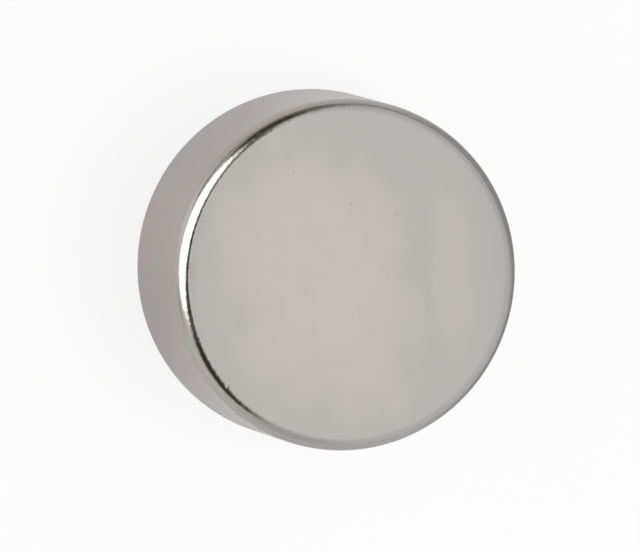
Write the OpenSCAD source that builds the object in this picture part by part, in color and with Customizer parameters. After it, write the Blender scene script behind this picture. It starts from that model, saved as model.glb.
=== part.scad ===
// Disc magnet: a sintered disc with flat pole faces and tumbled rims, plated all over.
// One turned section, spun about +Z. It rests on its lower pole face, with the origin at that face's centre.
// All sizes are in millimetres and are taken over the plating.

/* [Disc] */
// Diameter of the straight side wall
disc_d = 20; // [12:0.5:40]
// Thickness from one pole face to the other
disc_h = 10; // [4:0.5:20]

/* [Rims] */
// Radius that tumbling leaves where a pole face meets the wall
rim_r = 0.8; // [0.2:0.05:1.2]
// Radius of the shallow shoulder that eases each pole face into its rim
shoulder_r = 24; // [8:1:40]
// Slope of the shoulder where the rim takes over, in degrees
shoulder_a = 3; // [1:0.5:5]

/* [Finish] */
// Colour of the plating
plate_colour = "#BDB8B3"; // [#BDB8B3:Nickel, #C9A857:Gold, #2D2D30:Black epoxy]

/* [Hidden] */
// How far a trimming outline reaches past the curve that it trims
trim_past = 0.5;

// The wall's distance from the axis, and each pole face's from the middle plane
wall_r = disc_d / 2;
pole_z = disc_h / 2;

// The rim's arc touches the wall and meets the shoulder's arc at the shoulder's end slope.
// Its centre stands on the shoulder's own radius there, so the two arcs share a tangent.
rim_x = wall_r - rim_r;
rim_z = pole_z - shoulder_r + (shoulder_r - rim_r) * cos(shoulder_a);

// Edge of the flat part of a pole face, where the shoulder begins
flat_r = rim_x - (shoulder_r - rim_r) * sin(shoulder_a);

// The point at a distance from the rim's centre, square to the shoulder's end
function shoulder_end(distance) =
    [rim_x + distance * sin(shoulder_a), rim_z + distance * cos(shoulder_a)];

// Half of the section, with straight chords in place of the shoulder's arc and the rim's
module chord_section() {
    polygon([
        [0, 0],
        [wall_r, 0],
        [wall_r, rim_z],
        [rim_x, rim_z],
        shoulder_end(rim_r),
        [flat_r, pole_z],
        [0, pole_z]
    ]);
}

// What lies under the shoulder's arc
module shoulder_section() {
    intersection() {
        translate([flat_r, pole_z - shoulder_r])
            circle(r = shoulder_r);
        polygon([
            [flat_r, rim_z],
            [rim_x, rim_z],
            shoulder_end(rim_r + trim_past),
            [flat_r, pole_z + trim_past]
        ]);
    }
}

// The circle that rounds the rim between shoulder and wall
module rim_section() {
    translate([rim_x, rim_z])
        circle(r = rim_r);
}

// Half of the section, from the middle plane to a pole face
module half_section() {
    chord_section();
    shoulder_section();
    rim_section();
}

// The whole disc: the section's two halves, spun about the axis
module magnet() {
    color(plate_colour)
        translate([0, 0, pole_z])
            rotate_extrude() {
                half_section();
                mirror([0, 1])
                    half_section();
            }
}

magnet();
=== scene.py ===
"""Disc magnet: a thick sintered disc with flat pole faces and tumbled rims, nickel plated all over.

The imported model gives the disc's size and place. The plated skin is turned again here from the same
section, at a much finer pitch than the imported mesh, so that its rims are round and carry the small
dents and waves of a tumbled edge. Lengths in this file are in metres, except that the plating's
patterns are in millimetres and say so.
"""

import logging
import math
from collections.abc import Iterable
from dataclasses import dataclass, field
from functools import reduce

import bmesh
import bpy
from mathutils import Euler, Matrix, Vector, noise


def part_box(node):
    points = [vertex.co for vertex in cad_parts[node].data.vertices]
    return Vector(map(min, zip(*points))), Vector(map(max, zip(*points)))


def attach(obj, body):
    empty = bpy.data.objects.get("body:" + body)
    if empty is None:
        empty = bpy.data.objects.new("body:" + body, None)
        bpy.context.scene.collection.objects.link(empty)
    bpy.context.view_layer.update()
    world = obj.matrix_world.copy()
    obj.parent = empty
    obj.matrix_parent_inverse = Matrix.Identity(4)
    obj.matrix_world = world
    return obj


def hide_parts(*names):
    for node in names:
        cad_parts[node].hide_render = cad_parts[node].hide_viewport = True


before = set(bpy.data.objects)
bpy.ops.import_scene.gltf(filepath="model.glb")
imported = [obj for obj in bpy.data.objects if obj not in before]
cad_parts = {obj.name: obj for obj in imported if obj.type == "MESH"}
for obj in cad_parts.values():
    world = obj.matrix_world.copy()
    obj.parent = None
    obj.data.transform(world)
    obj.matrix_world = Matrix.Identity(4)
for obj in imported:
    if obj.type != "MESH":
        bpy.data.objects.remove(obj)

LOG = logging.getLogger("disc_magnet")

MM = 0.001
BODY = "root"
NODE = "magnet"

Colour = tuple[float, float, float]
Point = tuple[float, float, float]
Span = tuple[float, float]
Socket = bpy.types.NodeSocket

WHITE: Colour = (1.0, 1.0, 1.0)


def add_piece(name: str, bm: bmesh.types.BMesh, material: bpy.types.Material) -> bpy.types.Object:
    """Puts a finished shape into the scene.

    Args:
        name: The piece's name.
        bm: Its shape, which is used up.
        material: Its finish.

    Returns:
        The piece's object.
    """
    mesh = bpy.data.meshes.new(name)
    bm.to_mesh(mesh)
    bm.free()
    mesh.materials.append(material)
    piece = bpy.data.objects.new(name, mesh)
    bpy.context.scene.collection.objects.link(piece)
    return piece


def only_seen_in_reflections(piece: bpy.types.Object) -> None:
    """Hides a studio panel from everything but reflections, so it lights and shades nothing.

    Args:
        piece: The panel's object.
    """
    piece.visible_camera = False
    piece.visible_diffuse = False
    piece.visible_shadow = False
    piece.visible_transmission = False


@dataclass(frozen=True)
class Blotches:
    """A soft random pattern in three dimensions.

    It has so many blotches in each millimetre and so many finer octaves, each of which has a share of
    the weight of the one before.
    """

    per_mm: float
    octaves: float
    share: float = 0.5


class NodeBench:
    """A material's or world's node tree, with short ways to add and join its nodes."""

    def __init__(self, owner: bpy.types.Material | bpy.types.World) -> None:
        """Gives the owner an empty node tree.

        Args:
            owner: The material or world to build in.
        """
        owner.use_nodes = True
        self.tree = owner.node_tree
        self.tree.nodes.clear()

    def add(self, kind: str, **settings: object) -> bpy.types.Node:
        """Adds one node.

        Args:
            kind: The node's type name.
            **settings: Properties to set on the node.

        Returns:
            The new node.
        """
        node = self.tree.nodes.new(kind)
        for name, value in settings.items():
            setattr(node, name, value)
        return node

    def join(self, source: Socket, target: Socket) -> None:
        """Links one socket to another."""
        self.tree.links.new(source, target)

    def math(self, operation: str, first: Socket | float, second: Socket | float | None = None) -> Socket:
        """Adds a Math node whose inputs are sockets or plain numbers.

        Args:
            operation: The Math node's operation.
            first: First input.
            second: Second input, if the operation has one.

        Returns:
            The node's output.
        """
        node = self.add("ShaderNodeMath", operation=operation)
        for socket, value in zip(node.inputs, (first, second)):
            if isinstance(value, Socket):
                self.join(value, socket)
            elif value is not None:
                socket.default_value = value
        return node.outputs[0]

    def fold(self, operation: str, values: Iterable[Socket]) -> Socket:
        """Joins one value or more into one, by a Math operation between each and the next."""
        return reduce(lambda first, second: self.math(operation, first, second), values)

    def ramp(self, value: Socket, low: float, high: float, start: float = 0.0, end: float = 1.0) -> Socket:
        """Turns a value that rises from low to high into one that goes smoothly from start to end.

        Args:
            value: The socket that is read.
            low: Value at and below which the result is start.
            high: Value at and above which the result is end.
            start: Result at low.
            end: Result at high.

        Returns:
            The result's socket.
        """
        node = self.add("ShaderNodeMapRange", interpolation_type="SMOOTHSTEP")
        self.join(value, node.inputs["Value"])
        node.inputs["From Min"].default_value = low
        node.inputs["From Max"].default_value = high
        node.inputs["To Min"].default_value = start
        node.inputs["To Max"].default_value = end
        return node.outputs["Result"]

    def mix(self, factor: Socket, first: Socket | Colour, second: Socket | Colour) -> Socket:
        """Mixes two colours.

        Args:
            factor: Share of the second colour.
            first: A colour socket or a plain colour.
            second: A colour socket or a plain colour.

        Returns:
            The mixed colour's socket.
        """
        node = self.add("ShaderNodeMix", data_type="RGBA")
        self.join(factor, node.inputs["Factor"])
        # A Mix node has a pair of inputs for each type of data, and the colours are this pair
        for socket, value in zip((node.inputs[6], node.inputs[7]), (first, second)):
            if isinstance(value, Socket):
                self.join(value, socket)
            else:
                socket.default_value = (*value, 1.0)
        return node.outputs[2]

    def blend(self, factor: Socket, first: Socket, second: Socket) -> Socket:
        """Blends two shaders.

        Args:
            factor: Share of the second shader.
            first: The first shader.
            second: The second shader.

        Returns:
            The blended shader's socket.
        """
        node = self.add("ShaderNodeMixShader")
        self.join(factor, node.inputs["Fac"])
        self.join(first, node.inputs[1])
        self.join(second, node.inputs[2])
        return node.outputs["Shader"]

    def glow(self, strength: float) -> Socket:
        """Adds a plain white glow.

        Args:
            strength: The glow's strength, at which 1 is white.

        Returns:
            The glow's socket.
        """
        node = self.add("ShaderNodeEmission")
        node.inputs["Strength"].default_value = strength
        return node.outputs["Emission"]

    def height(self, vector: Socket) -> Socket:
        """Reads how high up a point is.

        Args:
            vector: The point.

        Returns:
            The height's socket.
        """
        node = self.add("ShaderNodeSeparateXYZ")
        self.join(vector, node.inputs["Vector"])
        return node.outputs["Z"]

    def along(self, vector: Socket, direction: Point) -> Socket:
        """Measures how far a point lies in one direction.

        Args:
            vector: The point.
            direction: The direction, one unit long.

        Returns:
            The distance's socket.
        """
        node = self.add("ShaderNodeVectorMath", operation="DOT_PRODUCT")
        self.join(vector, node.inputs[0])
        node.inputs[1].default_value = direction
        return node.outputs["Value"]

    def away(self, vector: Socket, spot: Point) -> Socket:
        """Measures how far a point is from a fixed spot.

        Args:
            vector: The point.
            spot: The fixed spot.

        Returns:
            The distance's socket.
        """
        node = self.add("ShaderNodeVectorMath", operation="DISTANCE")
        self.join(vector, node.inputs[0])
        node.inputs[1].default_value = spot
        return node.outputs["Value"]

    def length(self, vector: Socket) -> Socket:
        """Measures a vector.

        Args:
            vector: The vector.

        Returns:
            The length's socket.
        """
        node = self.add("ShaderNodeVectorMath", operation="LENGTH")
        self.join(vector, node.inputs[0])
        return node.outputs["Value"]

    def stretched(self, vector: Socket, scale: Point) -> Socket:
        """Scales a vector along each axis.

        Args:
            vector: The vector.
            scale: The scale along each axis.

        Returns:
            The scaled vector's socket.
        """
        node = self.add("ShaderNodeMapping")
        self.join(vector, node.inputs["Vector"])
        node.inputs["Scale"].default_value = scale
        return node.outputs["Vector"]

    def oval(self, vector: Socket, middle: Point, turn: Point, reach: Point) -> Socket:
        """Measures how far a point is from the middle of an oval blob.

        Args:
            vector: The point.
            middle: The blob's middle.
            turn: The blob's turn, as an Euler rotation.
            reach: The blob's half sizes along its own axes.

        Returns:
            The distance's socket, 1 at the blob's edge.
        """
        node = self.add("ShaderNodeMapping", vector_type="TEXTURE")
        self.join(vector, node.inputs["Vector"])
        for name, value in zip(("Location", "Rotation", "Scale"), (middle, turn, reach)):
            node.inputs[name].default_value = value
        return self.length(node.outputs["Vector"])

    def noise(self, vector: Socket, blotches: Blotches) -> Socket:
        """Adds a three-dimensional noise.

        Args:
            vector: Where the noise is read, in millimetres.
            blotches: Its size and its fineness.

        Returns:
            The noise's value, about 0.5 on average.
        """
        node = self.add("ShaderNodeTexNoise")
        self.join(vector, node.inputs["Vector"])
        node.inputs["Scale"].default_value = blotches.per_mm
        node.inputs["Detail"].default_value = blotches.octaves
        node.inputs["Roughness"].default_value = blotches.share
        return node.outputs["Fac"]

    def finish(self, surface: Socket, kind: str = "ShaderNodeOutputMaterial") -> None:
        """Joins the last shader to the tree's output node, which is of the kind given."""
        self.join(surface, self.add(kind).inputs["Surface"])


@dataclass(frozen=True)
class Pit:
    """A pinhole in the plating: its place on the upper pole face and its radius, in millimetres."""

    x: float
    y: float
    radius: float


@dataclass(frozen=True)
class CloudAndSheen:
    """A warmer, lighter patch, partly the plating's tone and partly a painted sheen: middle and reach in
    millimetres, turn in degrees, and share.
    """

    x: float
    y: float
    along: float
    across: float
    turn: float
    share: float


@dataclass(frozen=True)
class NickelPlate:
    """Satin nickel plating over a tumbled part: faintly clouded in tone and in painted sheen, with painted
    shade on one side of the pole face's edge, a fine grain and a few pinholes.

    A span holds the two values between which a part of the pattern comes in or fades out.
    """

    # The pole faces and rims go from cool to warm, a warm that is also a painted sheen, and the wall from
    # its own tone to a flushed one
    cool: Colour = (0.492, 0.473, 0.455)
    warm_and_sheen: Colour = (0.566, 0.530, 0.500)
    wall: Colour = (0.505, 0.464, 0.434)
    flushed: Colour = (0.525, 0.440, 0.424)

    clouds_and_sheen: tuple[CloudAndSheen, ...] = (
        CloudAndSheen(x=0.7, y=-1.6, along=10.4, across=6.4, turn=27.0, share=0.85),
        CloudAndSheen(x=2.2, y=-0.1, along=4.6, across=3.4, turn=27.0, share=1.0),
        CloudAndSheen(x=-2.0, y=5.9, along=6.6, across=1.7, turn=18.0, share=0.4),
    )
    cloud_height_mm: float = 1000.0
    cloud_span: Span = (0.35, 1.1)
    drift: Blotches = Blotches(per_mm=1 / 4.0, octaves=5.0, share=0.6)
    drift_swing: float = 1.1

    # Painted shade darkens one side of the pole face's edge. Both spans are in wall radii
    painted_shade_light: float = 0.94
    painted_shade_side: float = math.radians(121)
    painted_shade_in: Span = (0.62, 0.92)
    painted_shade_out: Span = (0.93, 0.97)

    # The wall's tone comes in just inside its radius. Its flush thins out near the upper rim, between
    # two heights in shares of the thickness
    wall_inset_mm: Span = (0.12, 0.01)
    flush: Blotches = Blotches(per_mm=0.35, octaves=2.0)
    flush_span: Span = (0.42, 0.6)
    flush_heights: Span = (0.65, 0.88)
    flush_on_top: float = 0.2

    roughness: float = 0.14
    roughness_swing: float = 0.04
    satin: Blotches = Blotches(per_mm=0.7, octaves=3.0)
    satin_span: Span = (0.3, 0.7)

    grain: Blotches = Blotches(per_mm=1 / 0.16, octaves=3.0)
    grain_depth_mm: float = 0.0005
    peel: Blotches = Blotches(per_mm=1 / 1.1, octaves=1.0)
    peel_depth_mm: float = 0.0008

    # The knocks of tumbling stay on the rims. Both spans are in rim radii, in from the disc's outside
    knocks: Blotches = Blotches(per_mm=1 / 0.32, octaves=1.0)
    knock_depth_mm: float = 0.0075
    knocks_below: Span = (1.05, 0.85)
    knocks_inside: Span = (1.1, 0.9)

    pits: tuple[Pit, ...] = (
        Pit(x=-3.96, y=-1.01, radius=0.12),
        Pit(x=-4.15, y=1.75, radius=0.1),
        Pit(x=-0.60, y=2.27, radius=0.1),
        Pit(x=-3.14, y=8.03, radius=0.09),
        Pit(x=-4.71, y=-4.73, radius=0.08),
        Pit(x=-6.72, y=-5.87, radius=0.09),
    )
    pit_colour: Colour = (0.26, 0.25, 0.24)
    pit_share: float = 0.3
    pit_core: float = 0.3
    pit_depth_mm: float = 0.0015

    def material(self, disc: "DiscMagnet") -> bpy.types.Material:
        """Makes the plating's material.

        Args:
            disc: The disc that it coats, for the places of its wall and faces.

        Returns:
            The finished material.
        """
        material = bpy.data.materials.new("nickel_plate")
        bench = NodeBench(material)
        spot = bench.add("ShaderNodeTexCoord").outputs["Object"]
        place = bench.stretched(spot, (1 / MM, 1 / MM, 1 / MM))
        pits = self._pits(bench, place, disc)
        shader = bench.add("ShaderNodeBsdfPrincipled")
        shader.inputs["Metallic"].default_value = 1.0
        bench.join(self._colour(bench, place, disc, pits), shader.inputs["Base Color"])
        bench.join(self._roughness(bench, place), shader.inputs["Roughness"])
        bench.join(self._relief(bench, place, disc, pits), shader.inputs["Normal"])
        bench.finish(shader.outputs["BSDF"])
        return material

    def _pits(self, bench: NodeBench, place: Socket, disc: "DiscMagnet") -> Socket:
        """Marks the pinholes.

        Args:
            bench: The material's nodes.
            place: The surface point, in millimetres.
            disc: The disc, for the height of its upper face.

        Returns:
            A socket that is 1 in a pinhole and 0 elsewhere.
        """
        marks = []
        for pit in self.pits:
            away = bench.away(place, (pit.x, pit.y, disc.thickness / MM))
            marks.append(bench.ramp(away, pit.radius * self.pit_core, pit.radius, 1.0, 0.0))
        return bench.fold("MAXIMUM", marks)

    def _colour(self, bench: NodeBench, place: Socket, disc: "DiscMagnet", pits: Socket) -> Socket:
        """Clouds the nickel between a cool and a warm tone, with a flushed wall and dark pinholes.

        Args:
            bench: The material's nodes.
            place: The surface point, in millimetres.
            disc: The disc, for its wall's radius and its thickness.
            pits: The pinholes' marks.

        Returns:
            The colour's socket.
        """
        reach = self._reach(bench, place)
        face = bench.add("ShaderNodeVectorMath", operation="SCALE")
        # The warm clouds are partly the plating's tone and partly a painted sheen that lightens the pole
        # faces in patches
        bench.join(bench.mix(self._clouds_and_sheen(bench, place), self.cool, self.warm_and_sheen), face.inputs[0])
        # Painted shade darkens the colour on one side of the pole face's edge
        painted_shade = self._painted_shade(bench, place, reach, disc)
        bench.join(bench.math("SUBTRACT", 1.0, painted_shade), face.inputs["Scale"])
        wall_mm = disc.wall_radius / MM
        start, full = self.wall_inset_mm
        on_wall = bench.ramp(reach, wall_mm - start, wall_mm - full)
        wall = bench.mix(self._flush(bench, place, disc), self.wall, self.flushed)
        plated = bench.mix(on_wall, face.outputs["Vector"], wall)
        return bench.mix(bench.math("MULTIPLY", pits, self.pit_share), plated, self.pit_colour)

    def _painted_shade(self, bench: NodeBench, place: Socket, reach: Socket, disc: "DiscMagnet") -> Socket:
        """Marks the painted shade on one side of the pole face's edge.

        Args:
            bench: The material's nodes.
            place: The surface point, in millimetres.
            reach: Its distance from the disc's axis, in millimetres.
            disc: The disc, for its wall's radius.

        Returns:
            A socket with the share of the colour that the painted shade takes away there.
        """
        wall_mm = disc.wall_radius / MM
        side = bench.along(place, (math.cos(self.painted_shade_side), math.sin(self.painted_shade_side), 0.0))
        start, full = self.painted_shade_in
        painted_shade = bench.ramp(side, wall_mm * start, wall_mm * full, 0.0, 1 - self.painted_shade_light)
        start, gone = self.painted_shade_out
        return bench.math("MULTIPLY", painted_shade, bench.ramp(reach, wall_mm * start, wall_mm * gone, 1.0, 0.0))

    def _flush(self, bench: NodeBench, place: Socket, disc: "DiscMagnet") -> Socket:
        """Marks the flushed patches of the wall.

        Args:
            bench: The material's nodes.
            place: The surface point, in millimetres.
            disc: The disc, for its thickness.

        Returns:
            The share of the flushed tone.
        """
        thick_mm = disc.thickness / MM
        full, thin = self.flush_heights
        below = bench.ramp(bench.height(place), thick_mm * full, thick_mm * thin, 1.0, self.flush_on_top)
        patches = bench.ramp(bench.noise(place, self.flush), *self.flush_span)
        return bench.math("MULTIPLY", patches, below)

    def _clouds_and_sheen(self, bench: NodeBench, place: Socket) -> Socket:
        """Marks the warmer, lighter patches, partly tone and partly painted sheen, whose edges wander.

        Args:
            bench: The material's nodes.
            place: The surface point, in millimetres.

        Returns:
            The share of the warm tone.
        """
        drift = bench.math("SUBTRACT", bench.noise(place, self.drift), 0.5)
        drift = bench.math("MULTIPLY", drift, self.drift_swing)
        marks = []
        for cloud in self.clouds_and_sheen:
            turn = (0.0, 0.0, math.radians(cloud.turn))
            off = bench.oval(place, (cloud.x, cloud.y, 0.0), turn,
                             (cloud.along, cloud.across, self.cloud_height_mm))
            marks.append(bench.ramp(bench.math("ADD", off, drift), *self.cloud_span, cloud.share, 0.0))
        return bench.fold("MAXIMUM", marks)

    def _reach(self, bench: NodeBench, place: Socket) -> Socket:
        """Measures how far from the disc's axis the surface point is, in millimetres."""
        return bench.length(bench.stretched(place, (1.0, 1.0, 0.0)))

    def _roughness(self, bench: NodeBench, place: Socket) -> Socket:
        """Varies the satin a little from place to place.

        Args:
            bench: The material's nodes.
            place: The surface point, in millimetres.

        Returns:
            The roughness's socket.
        """
        patches = bench.noise(place, self.satin)
        swing = self.roughness_swing / 2
        return bench.ramp(patches, *self.satin_span, self.roughness - swing, self.roughness + swing)

    def _relief(self, bench: NodeBench, place: Socket, disc: "DiscMagnet", pits: Socket) -> Socket:
        """Adds the grain, the orange peel, the rims' small knocks and the pinholes' hollows.

        Args:
            bench: The material's nodes.
            place: The surface point, in millimetres.
            disc: The disc, for the place of its rims.
            pits: The pinholes' marks.

        Returns:
            The bent normal's socket.
        """
        grain = bench.math("MULTIPLY", bench.noise(place, self.grain), self.grain_depth_mm * MM)
        peel = bench.math("MULTIPLY", bench.noise(place, self.peel), self.peel_depth_mm * MM)
        knocks = bench.math("MULTIPLY", bench.noise(place, self.knocks), self.knock_depth_mm * MM)
        knocks = bench.math("MULTIPLY", knocks, self._on_rims(bench, place, disc))
        hollow = bench.math("MULTIPLY", pits, -self.pit_depth_mm * MM)
        height = bench.math("ADD", bench.math("ADD", grain, peel), bench.math("ADD", knocks, hollow))
        bump = bench.add("ShaderNodeBump")
        bump.inputs["Strength"].default_value = 1.0
        bump.inputs["Distance"].default_value = 1.0
        bench.join(height, bump.inputs["Height"])
        return bump.outputs["Normal"]

    def _on_rims(self, bench: NodeBench, place: Socket, disc: "DiscMagnet") -> Socket:
        """Marks both rims.

        Args:
            bench: The material's nodes.
            place: The surface point, in millimetres.
            disc: The disc, for the place of its rims.

        Returns:
            A socket that is 1 on the rims and 0 elsewhere.
        """
        half_mm = disc.thickness / MM / 2
        rim_mm = disc.rim_radius / MM
        wall_mm = disc.wall_radius / MM
        off_middle = bench.math("ABSOLUTE", bench.math("SUBTRACT", bench.height(place), half_mm))
        start, full = self.knocks_below
        high = bench.ramp(off_middle, half_mm - rim_mm * start, half_mm - rim_mm * full)
        start, full = self.knocks_inside
        out = bench.ramp(self._reach(bench, place), wall_mm - rim_mm * start, wall_mm - rim_mm * full)
        return bench.math("MULTIPLY", high, out)


@dataclass(frozen=True)
class Nick:
    """A small dent in the upper rim.

    Its place is its angle round the disc and the rim's lean there, both in degrees.
    """

    angle: float
    lean: float
    width: float
    depth: float


@dataclass
class DiscMagnet:
    """The plated disc, turned from its section.

    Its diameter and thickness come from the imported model. The radii of its edges are those of the
    turned section. A guard is a narrow ring at the edge of a flat part, which keeps the light on it
    flat: there is one at each end of the wall and one round each pole face.
    """

    rim_radius: float = 0.8 * MM
    shoulder_radius: float = 24 * MM
    shoulder_slope: float = math.radians(3)
    segments: int = 1080
    rim_steps: int = 26
    shoulder_steps: int = 8
    wall_steps: int = 6
    wall_guard: float = 0.04 * MM
    pole_guard: float = 0.05 * MM
    seam_gap: float = 0.0001 * MM
    wave_depth: float = 0.006 * MM
    wave_length: float = 0.9 * MM
    wave_margin: float = 0.01 * MM
    nicks: tuple[Nick, ...] = (
        Nick(angle=-129.3, lean=30.0, width=0.13 * MM, depth=0.012 * MM),
        Nick(angle=-130.0, lean=27.0, width=0.11 * MM, depth=0.009 * MM),
        Nick(angle=-31.0, lean=8.0, width=0.17 * MM, depth=0.011 * MM),
        Nick(angle=159.0, lean=20.0, width=0.12 * MM, depth=0.006 * MM),
    )
    finish: NickelPlate = NickelPlate()
    wall_radius: float = field(init=False)
    thickness: float = field(init=False)

    def __post_init__(self) -> None:
        """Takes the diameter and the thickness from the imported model."""
        low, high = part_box(NODE)
        self.wall_radius = high.x
        self.thickness = high.z - low.z

    @property
    def rim_centre(self) -> tuple[float, float]:
        """Places the upper rim's arc.

        Returns:
            Radius and height of the arc's centre.
        """
        reach = self.shoulder_radius - self.rim_radius
        height = self.thickness - self.shoulder_radius + reach * math.cos(self.shoulder_slope)
        return self.wall_radius - self.rim_radius, height

    @property
    def flat_radius(self) -> float:
        """Radius at which the flat pole face ends and its shoulder begins."""
        reach = self.shoulder_radius - self.rim_radius
        return self.rim_centre[0] - reach * math.sin(self.shoulder_slope)

    def build(self) -> bpy.types.Object:
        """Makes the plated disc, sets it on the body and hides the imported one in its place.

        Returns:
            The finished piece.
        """
        bm = bmesh.new()
        self._draw_section(bm)
        self._spin_section(bm)
        self._cap_poles(bm)
        self._tumble(bm)
        bmesh.ops.recalc_face_normals(bm, faces=bm.faces)
        for face in bm.faces:
            face.smooth = True
        piece = add_piece("plated_disc", bm, self.finish.material(self))
        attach(piece, BODY)
        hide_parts(NODE)
        return piece

    def _arc(self, bm: bmesh.types.BMesh, start: bmesh.types.BMVert, centre: tuple[float, float],
             angle: float, steps: int) -> bmesh.types.BMVert:
        """Sweeps the section's last point through an arc.

        Args:
            bm: The mesh.
            start: The section's last point.
            centre: Radius and height of the arc's centre.
            angle: Angle of the sweep.
            steps: Number of chords.

        Returns:
            The arc's end point.
        """
        swept = bmesh.ops.spin(bm, geom=[start], cent=(centre[0], 0, centre[1]), axis=(0, 1, 0),
                               angle=angle, steps=steps, use_duplicate=False)
        return next(item for item in swept["geom_last"] if isinstance(item, bmesh.types.BMVert))

    def _line(self, bm: bmesh.types.BMesh, start: bmesh.types.BMVert,
              heights: list[float]) -> bmesh.types.BMVert:
        """Carries the section's last point straight down the wall, with a stop at each height.

        Args:
            bm: The mesh.
            start: The section's last point.
            heights: Heights of the stops, from the top down.

        Returns:
            The line's end point.
        """
        last = start
        for height in heights:
            made = bmesh.ops.extrude_vert_indiv(bm, verts=[last])
            last = made["verts"][0]
            last.co.z = height
        return last

    def _draw_section(self, bm: bmesh.types.BMesh) -> None:
        """Draws the open section, from the upper face down: shoulder, rim, wall, rim and shoulder.

        Args:
            bm: The mesh.
        """
        rim_r, rim_z = self.rim_centre
        low_rim_z = self.thickness - rim_z
        sweep = math.pi / 2 - self.shoulder_slope
        end = bmesh.ops.create_vert(bm, co=(self.flat_radius, 0, self.thickness))["vert"][0]
        shoulder = (self.flat_radius, self.thickness - self.shoulder_radius)
        end = self._arc(bm, end, shoulder, self.shoulder_slope, self.shoulder_steps)
        end = self._arc(bm, end, (rim_r, rim_z), sweep, self.rim_steps)
        drop = (rim_z - low_rim_z - 2 * self.wall_guard) / self.wall_steps
        stops = [rim_z - self.wall_guard - drop * step for step in range(self.wall_steps + 1)]
        end = self._line(bm, end, stops + [low_rim_z])
        end = self._arc(bm, end, (rim_r, low_rim_z), sweep, self.rim_steps)
        shoulder = (self.flat_radius, self.shoulder_radius)
        self._arc(bm, end, shoulder, self.shoulder_slope, self.shoulder_steps)

    def _spin_section(self, bm: bmesh.types.BMesh) -> None:
        """Spins the section once round the axis and closes the seam."""
        bmesh.ops.spin(bm, geom=bm.verts[:] + bm.edges[:], cent=(0, 0, 0), axis=(0, 0, 1),
                       angle=2 * math.pi, steps=self.segments, use_merge=True, use_duplicate=False)
        bmesh.ops.remove_doubles(bm, verts=bm.verts, dist=self.seam_gap)

    def _cap_poles(self, bm: bmesh.types.BMesh) -> None:
        """Closes both pole faces, each with its guard.

        Args:
            bm: The mesh.
        """
        open_edges = [edge for edge in bm.edges if edge.is_boundary]
        caps = bmesh.ops.holes_fill(bm, edges=open_edges, sides=0)["faces"]
        bmesh.ops.inset_individual(bm, faces=caps, thickness=self.pole_guard)

    def _tumble(self, bm: bmesh.types.BMesh) -> None:
        """Wears the rims: slow waves all round, and the upper rim's nicks. Nothing goes outwards.

        Args:
            bm: The mesh.
        """
        bm.normal_update()
        rim_start = self.rim_centre[0] + self.rim_radius * math.sin(self.shoulder_slope)
        hits = [(self._rim_spot(nick), nick) for nick in self.nicks]
        for vert in bm.verts:
            radius = math.hypot(vert.co.x, vert.co.y)
            if radius <= self.flat_radius + self.wave_margin:
                continue
            # A wave is deepest halfway round the rim's arc and fades out at both ends of it
            up = min(abs(vert.normal.z), 1.0)
            share = 4 * up * (1 - up) if radius > rim_start else 0.0
            wave = 0.5 + 0.5 * noise.noise(vert.co / self.wave_length)
            push = self.wave_depth * share * wave
            for spot, nick in hits:
                near = 1 - (vert.co - spot).length / nick.width
                if near > 0:
                    push += nick.depth * near * near * (3 - 2 * near)
            vert.co -= vert.normal * push

    def _rim_spot(self, nick: Nick) -> Vector:
        """Finds the middle of a nick.

        Args:
            nick: The nick.

        Returns:
            Its place on the upper rim.
        """
        rim_r, rim_z = self.rim_centre
        turn = math.radians(nick.angle)
        lean = math.radians(nick.lean)
        reach = rim_r + self.rim_radius * math.sin(lean)
        height = rim_z + self.rim_radius * math.cos(lean)
        return Vector((reach * math.cos(turn), reach * math.sin(turn), height))


@dataclass
class Viewpoint:
    """The camera, which looks down on the disc a little from one side and turned about its line of sight.

    A long lens from far away keeps the two pole faces nearly the same size.
    """

    tilt: float = math.radians(14.6)
    roll: float = math.radians(107.0)
    distance: float = 1.2
    view_width: float = 36.25 * MM
    aside: float = 1.54 * MM
    above: float = 0.015 * MM
    sensor_mm: float = 36.0
    nearest: float = 0.12
    furthest: float = 4.8

    def build(self, target: Vector) -> bpy.types.Object:
        """Makes the camera and gives it to the scene.

        Args:
            target: The point that stands a little off the middle of the view.

        Returns:
            The camera.
        """
        turn = Matrix.Rotation(self.tilt, 3, "X") @ Matrix.Rotation(self.roll, 3, "Z")
        right, up, back = turn.col
        data = bpy.data.cameras.new("camera")
        data.sensor_width = self.sensor_mm
        data.lens = self.sensor_mm * self.distance / self.view_width
        data.clip_start = self.nearest
        data.clip_end = self.furthest
        camera = bpy.data.objects.new("camera", data)
        bpy.context.scene.collection.objects.link(camera)
        aim = target - right * self.aside - up * self.above
        camera.matrix_world = Matrix.Translation(aim + back * self.distance) @ turn.to_4x4()
        bpy.context.scene.camera = camera
        return camera


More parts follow.
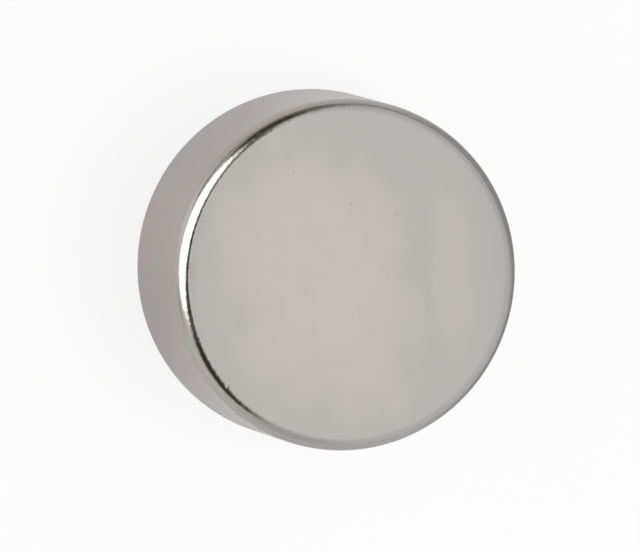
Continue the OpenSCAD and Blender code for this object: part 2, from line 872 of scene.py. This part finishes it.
@dataclass(frozen=True)
class MattPaper:
    """Matt paper or felt, of a grey from black at 0 to white at 1.

    Where it is seen, in metal and glass too, a share of it is a plain level without shadows, which
    lights nothing.
    """

    grey: float
    plain: float
    share: float
    segments: int = 96

    def sheet(self, name: str, centre: Point, radius: float, feather: float = 0.0) -> bpy.types.Object:
        """Lays a round sheet of the paper.

        Args:
            name: The sheet's name.
            centre: Its centre.
            radius: Its radius.
            feather: Width of the edge over which it thins out.

        Returns:
            The sheet.
        """
        bm = bmesh.new()
        bmesh.ops.create_circle(bm, cap_ends=True, segments=self.segments, radius=radius)
        bmesh.ops.translate(bm, verts=bm.verts, vec=centre)
        material = bpy.data.materials.new(name)
        bench = NodeBench(material)
        surface = self._surface(bench)
        if feather > 0:
            spot = bench.add("ShaderNodeTexCoord").outputs["Object"]
            off = bench.oval(spot, centre, (0.0, 0.0, 0.0), (radius, radius, 1.0))
            nothing = bench.add("ShaderNodeBsdfTransparent").outputs["BSDF"]
            surface = bench.blend(bench.ramp(off, 1 - feather / radius, 1.0), surface, nothing)
        bench.finish(surface)
        sheet = add_piece(name, bm, material)
        return sheet

    def _surface(self, bench: NodeBench) -> Socket:
        """Makes the paper's shader.

        Args:
            bench: The material's nodes.

        Returns:
            The shader's socket.
        """
        paper = bench.add("ShaderNodeBsdfDiffuse")
        paper.inputs["Color"].default_value = (self.grey, self.grey, self.grey, 1.0)
        path = bench.add("ShaderNodeLightPath")
        rays = ("Is Camera Ray", "Is Glossy Ray", "Is Transmission Ray")
        seen = bench.fold("MAXIMUM", (path.outputs[ray] for ray in rays))
        share = bench.math("MULTIPLY", seen, self.share)
        return bench.blend(share, paper.outputs["BSDF"], bench.glow(self.plain))


@dataclass(frozen=True)
class Mat:
    """A round grey mat on the bench, beside or under the disc, whose grey paints shade into the plating's
    reflections of the bench, on top of the real shadow it takes.

    Only the plating's reflections show it. It lies away from the disc's axis at an azimuth in
    degrees, and thins out over the width of its feathered edge.
    """

    name: str
    azimuth: float
    away: float
    radius: float
    feather: float
    grey: float
    glow: float = 0.3

    def build(self, height: float) -> bpy.types.Object:
        """Lays the mat.

        Args:
            height: The height at which it lies.

        Returns:
            The mat.
        """
        turn = math.radians(self.azimuth)
        centre = (math.sin(turn) * self.away, -math.cos(turn) * self.away, height)
        # The mat's grey paints shade into the plating's reflections of the bench
        shade_paper = MattPaper(grey=self.grey, plain=self.grey, share=self.glow)
        mat = shade_paper.sheet(self.name, centre, self.radius, self.feather)
        only_seen_in_reflections(mat)
        return mat


@dataclass(frozen=True)
class Card:
    """A flat oval studio card that faces the disc, and that only the plating's reflections show.

    Its place and its size are the angles, in degrees, under which the disc sees it. Lean is the
    angle by which its upright middle line leans, with its lower end towards greater azimuths.
    """

    name: str
    azimuth: float
    zenith: float
    width: float
    height: float
    brightness: float
    lean: float = 0.0
    distance: float = 0.5
    segments: int = 64

    def build(self) -> bpy.types.Object:
        """Hangs the card.

        Returns:
            The card.
        """
        bm = bmesh.new()
        bmesh.ops.create_circle(bm, cap_ends=True, segments=self.segments, radius=1.0)
        across = self._half(self.width)
        up = self._half(self.height)
        shape = Matrix.Diagonal((across, up, 1.0, 1.0))
        shape[0][1] = -up * math.tan(math.radians(self.lean))
        turn = Matrix.Rotation(math.radians(self.azimuth), 4, "Z")
        turn = turn @ Matrix.Rotation(math.radians(self.zenith), 4, "X")
        place = turn @ Matrix.Translation((0, 0, self.distance)) @ shape
        bmesh.ops.transform(bm, matrix=place, verts=bm.verts)
        material = bpy.data.materials.new(self.name)
        bench = NodeBench(material)
        bench.finish(bench.glow(self.brightness))
        piece = add_piece(self.name, bm, material)
        only_seen_in_reflections(piece)
        return piece

    def _half(self, angle: float) -> float:
        """Half the length that the disc sees under an angle, in degrees, at the card's distance."""
        return self.distance * math.tan(math.radians(angle / 2))


@dataclass(frozen=True)
class Shade:
    """A part of the room that is darker or lighter than the rest.

    Its place and its half sizes are the angles, in degrees, under which the disc sees it. Level is
    the share of the room's light that its middle has, and core is the share of its reach that has
    that level.
    """

    azimuth: float
    zenith: float
    across: float
    up: float
    level: float
    core: float

    def light(self, bench: NodeBench, way: Socket) -> Socket:
        """Works out how much of the room's light the shade leaves in a direction.

        Args:
            bench: The room's nodes.
            way: The direction.

        Returns:
            The share's socket.
        """
        turn = Euler((math.radians(self.zenith), 0.0, math.radians(self.azimuth)))
        middle = turn.to_matrix() @ Vector((0, 0, 1))
        reach = (math.sin(math.radians(self.across)), math.sin(math.radians(self.up)), 1.0)
        off = bench.oval(way, tuple(middle), tuple(turn), reach)
        return bench.ramp(off, self.core, 1.0, self.level, 1.0)


@dataclass
class Studio:
    """The white bench top, the pale room round it and the soft lamp that lights it.

    The mats paint shade into the metal's reflections of the bench, and the cards and the room's shades
    give the metal something to mirror.
    """

    bench_radius: float = 1.5
    bench_paper: MattPaper = MattPaper(grey=0.94, plain=1.0, share=0.84)
    mat_lift: float = 0.01 * MM

    # The room's light overhead and above the horizon, with the sines of the heights where it sets in
    room_top: float = 1.0
    room_middle: float = 0.80
    top_span: Span = (0.7, 1.0)
    middle_span: Span = (0.0, 0.6)

    # The horizon's light away from the window and towards it, with the cosines of the angles from it
    horizon_dark: float = 0.34
    horizon_light: float = 0.68
    window_side: float = math.radians(95)
    window_span: Span = (-0.4, 0.15)

    # The darker a shaded part of the room is, the warmer it is
    dark_tone: Colour = (1.0, 0.9, 0.79)
    dark_span: Span = (0.1, 0.8)

    lamp_azimuth: float = math.radians(180)
    lamp_zenith: float = math.radians(25)
    lamp_distance: float = 0.9
    lamp_size: float = 0.6
    lamp_level: float = 0.31

    # The mats' greys are painted shade: in the plating, the bench round the disc looks darker than it is
    mats: tuple[Mat, ...] = (
        Mat("pale_mat", azimuth=180.0, away=0.041, radius=0.072, feather=0.018, grey=0.72, glow=0.7),
        Mat("right_mat", azimuth=95.0, away=0.077, radius=0.079, feather=0.014, grey=0.71),
        Mat("left_mat", azimuth=-72.0, away=0.078, radius=0.075, feather=0.014, grey=0.76),
        Mat("dim_mat", azimuth=-70.0, away=0.110, radius=0.080, feather=0.025, grey=0.64),
        Mat("side_mat", azimuth=34.0, away=0.105, radius=0.065, feather=0.03, grey=0.64),
        Mat("fore_mat", azimuth=49.0, away=0.044, radius=0.039, feather=0.016, grey=0.80),
        Mat("far_mat", azimuth=-160.0, away=0.102, radius=0.092, feather=0.015, grey=0.42),
    )
    cards: tuple[Card, ...] = (
        Card("softbox_front", azimuth=2.8, zenith=44.0, width=55.0, height=63.0, brightness=2.3, lean=8.0),
        Card("low_panel", azimuth=6.0, zenith=84.0, width=40.0, height=13.0, brightness=0.9),
        Card("zenith_card", azimuth=41.0, zenith=2.3, width=19.0, height=12.5, brightness=0.02,
             distance=0.4),
    )
    shades: tuple[Shade, ...] = (
        Shade(azimuth=-53.0, zenith=53.0, across=25.0, up=27.0, level=0.1, core=0.45),
        Shade(azimuth=-70.0, zenith=68.0, across=26.0, up=24.0, level=0.4, core=0.3),
        Shade(azimuth=-56.0, zenith=22.0, across=10.0, up=24.0, level=0.07, core=0.3),
        Shade(azimuth=74.0, zenith=36.0, across=20.0, up=27.0, level=0.06, core=0.45),
        Shade(azimuth=60.0, zenith=17.0, across=14.0, up=18.0, level=0.08, core=0.4),
        Shade(azimuth=102.0, zenith=48.0, across=25.0, up=50.0, level=0.8, core=0.3),
        Shade(azimuth=60.0, zenith=84.0, across=24.0, up=20.0, level=1.2, core=0.3),
        Shade(azimuth=34.0, zenith=88.0, across=10.0, up=14.0, level=0.6, core=0.2),
        Shade(azimuth=170.0, zenith=62.0, across=60.0, up=36.0, level=1.07, core=0.3),
    )

    def build(self, level: float) -> list[bpy.types.Object]:
        """Builds everything that lights or surrounds the disc.

        Args:
            level: Height of the bench top.

        Returns:
            The bench top, the mats, the lamp and the cards.
        """
        pieces = [self.bench_paper.sheet("bench_top", (0, 0, level), self.bench_radius)]
        for layer, mat in enumerate(self.mats, start=1):
            pieces.append(mat.build(level + layer * self.mat_lift))
        self._room()
        pieces.append(self._lamp())
        pieces.extend(card.build() for card in self.cards)
        return pieces

    def _lamp(self) -> bpy.types.Object:
        """Hangs the soft lamp that lights the bench. The plating doesn't show it.

        Returns:
            The lamp.
        """
        data = bpy.data.lights.new("bench_lamp", "AREA")
        data.shape = "DISK"
        data.size = self.lamp_size
        # The power rises with the square of the distance and with the slant, to keep the bench's level
        data.energy = self.lamp_level * math.pi ** 2 * self.lamp_distance ** 2 / math.cos(self.lamp_zenith)
        lamp = bpy.data.objects.new("bench_lamp", data)
        turn = Matrix.Rotation(self.lamp_azimuth, 4, "Z") @ Matrix.Rotation(self.lamp_zenith, 4, "X")
        lamp.matrix_world = turn @ Matrix.Translation((0, 0, self.lamp_distance))
        lamp.visible_camera = False
        lamp.visible_glossy = False
        bpy.context.scene.collection.objects.link(lamp)
        return lamp

    def _room(self) -> None:
        """Paints the room: palest overhead, darker towards the horizon and away from the window."""
        world = bpy.data.worlds.new("room")
        bpy.context.scene.world = world
        bench = NodeBench(world)
        way = bench.add("ShaderNodeTexCoord").outputs["Generated"]
        height = bench.height(way)
        side = bench.along(way, (math.sin(self.window_side), -math.cos(self.window_side), 0.0))
        horizon = bench.ramp(side, *self.window_span, self.horizon_dark, self.horizon_light)
        rise = bench.ramp(height, *self.middle_span)
        low = bench.math("MULTIPLY", bench.math("SUBTRACT", 1.0, rise), horizon)
        middle = bench.math("MULTIPLY", rise, self.room_middle)
        high = bench.ramp(height, *self.top_span, 0.0, self.room_top - self.room_middle)
        light = bench.fold("ADD", (low, middle, high))
        dim = bench.fold("MULTIPLY", (shade.light(bench, way) for shade in self.shades))
        room = bench.add("ShaderNodeBackground")
        bench.join(bench.math("MULTIPLY", light, dim), room.inputs["Strength"])
        tone = bench.mix(bench.ramp(dim, *self.dark_span), self.dark_tone, WHITE)
        bench.join(tone, room.inputs["Color"])
        bench.finish(room.outputs["Background"], "ShaderNodeOutputWorld")


def main() -> None:
    """Builds the camera, the studio and the plated disc."""
    logging.basicConfig(level=logging.INFO, format="%(name)s: %(message)s")
    bpy.context.scene.view_settings.view_transform = "Standard"
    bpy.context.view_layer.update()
    low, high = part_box(NODE)
    camera = Viewpoint().build(Vector((0, 0, high.z)))
    LOG.info("%s: a lens of %.0f mm", camera.name, camera.data.lens)
    for piece in Studio().build(low.z):
        LOG.info("%s: in the studio", piece.name)
    disc = DiscMagnet().build()
    LOG.info("%s: %d faces", disc.name, len(disc.data.polygons))


if __name__ == "__main__":
    main()
